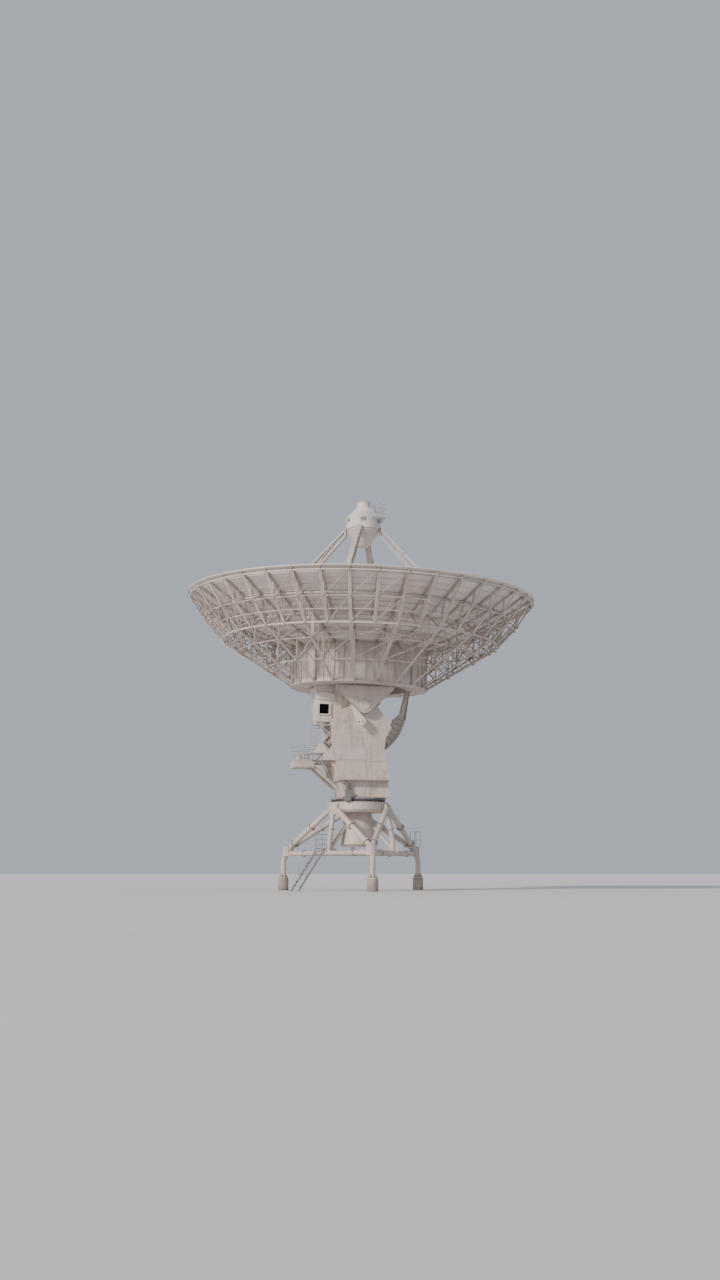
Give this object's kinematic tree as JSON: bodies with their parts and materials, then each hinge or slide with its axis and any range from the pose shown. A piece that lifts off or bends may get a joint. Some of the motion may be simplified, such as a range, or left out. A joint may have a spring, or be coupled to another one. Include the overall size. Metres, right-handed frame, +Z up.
{
  "type": "radio telescope dish",
  "caption": "Radio telescope with a large round reflector on a tipping yoke, which turns on a braced steel pedestal standing on concrete piers, with feed legs to an apex housing.",
  "frame": {"origin": "the middle of the whole object's box, on the ground under the piers", "axes": "+Z up, +X the direction in which the dish tips down, Y along the tipping axis"},
  "size_m": [24.9913, 25, 28.0823],
  "materials": {
    "structure_paint": "weathered off-white paint on welded steel",
    "panel_paint": "matt white paint on aluminium panels",
    "housing_paint": "white paint on sheet steel",
    "machinery_grey": "grey machine enamel",
    "galvanised_steel": "galvanised, dull",
    "concrete": "cast concrete, weathered"
  },
  "bodies": {
    "pedestal": {"pier_near": "concrete", "pier_front": "concrete", "pier_rear": "concrete", "corner_leg_near": "structure_paint", "corner_leg_front": "structure_paint", "corner_leg_rear": "structure_paint", "beam_front_side": "structure_paint", "beam_far_side": "structure_paint", "beam_stair_side": "structure_paint", "middle_post_front_side": "structure_paint", "middle_post_far_side": "structure_paint", "middle_post_stair_side": "structure_paint", "strut_left_front_side": "structure_paint", "strut_left_far_side": "structure_paint", "strut_left_stair_side": "structure_paint", "strut_right_front_side": "structure_paint", "strut_right_far_side": "structure_paint", "strut_right_stair_side": "structure_paint", "access_stair": "galvanised_steel", "stair_landing": "galvanised_steel", "support_ring": "structure_paint", "pedestal_core": "structure_paint"},
    "yoke": {"azimuth_bearing": "machinery_grey", "azimuth_drive_near": "machinery_grey", "azimuth_drive_far": "machinery_grey", "yoke_neck": "structure_paint", "yoke_base": "structure_paint", "yoke_arm_near": "structure_paint", "yoke_arm_far": "structure_paint", "arm_cover": "structure_paint", "elevation_drive": "machinery_grey", "rear_platform": "structure_paint", "platform_railing": "galvanised_steel", "equipment_cabinet": "housing_paint", "service_stair": "galvanised_steel"},
    "dish": {"reflector_segment_1": "panel_paint", "reflector_segment_2": "panel_paint", "reflector_segment_3": "panel_paint", "reflector_segment_4": "panel_paint", "reflector_segment_5": "panel_paint", "rib_frame_1": "structure_paint", "rib_frame_2": "structure_paint", "rib_frame_3": "structure_paint", "rib_frame_4": "structure_paint", "rib_frame_5": "structure_paint", "hub": "structure_paint", "vertex_room": "housing_paint", "trunnion_near": "structure_paint", "trunnion_far": "structure_paint", "gear_sector": "structure_paint", "feed_drum": "housing_paint", "feed_leg_front": "structure_paint", "feed_leg_far": "structure_paint", "feed_leg_rear": "structure_paint", "feed_leg_near": "structure_paint", "apex_housing": "housing_paint", "subreflector": "panel_paint", "apex_cage": "galvanised_steel"}
  },
  "joints": [
    {"name": "azimuth_turn", "type": "hinge", "parent": "pedestal", "child": "yoke", "pos_m": [-0.22978, 0, 6.3], "axis": [0, 0, 1], "range_deg": [-265, 265]},
    {"name": "elevation_tip", "type": "hinge", "parent": "yoke", "child": "dish", "pos_m": [-0.22978, 0, 12.84], "axis": [0, 1, 0], "range_deg": [-36.65, 80.35]}
  ]
}
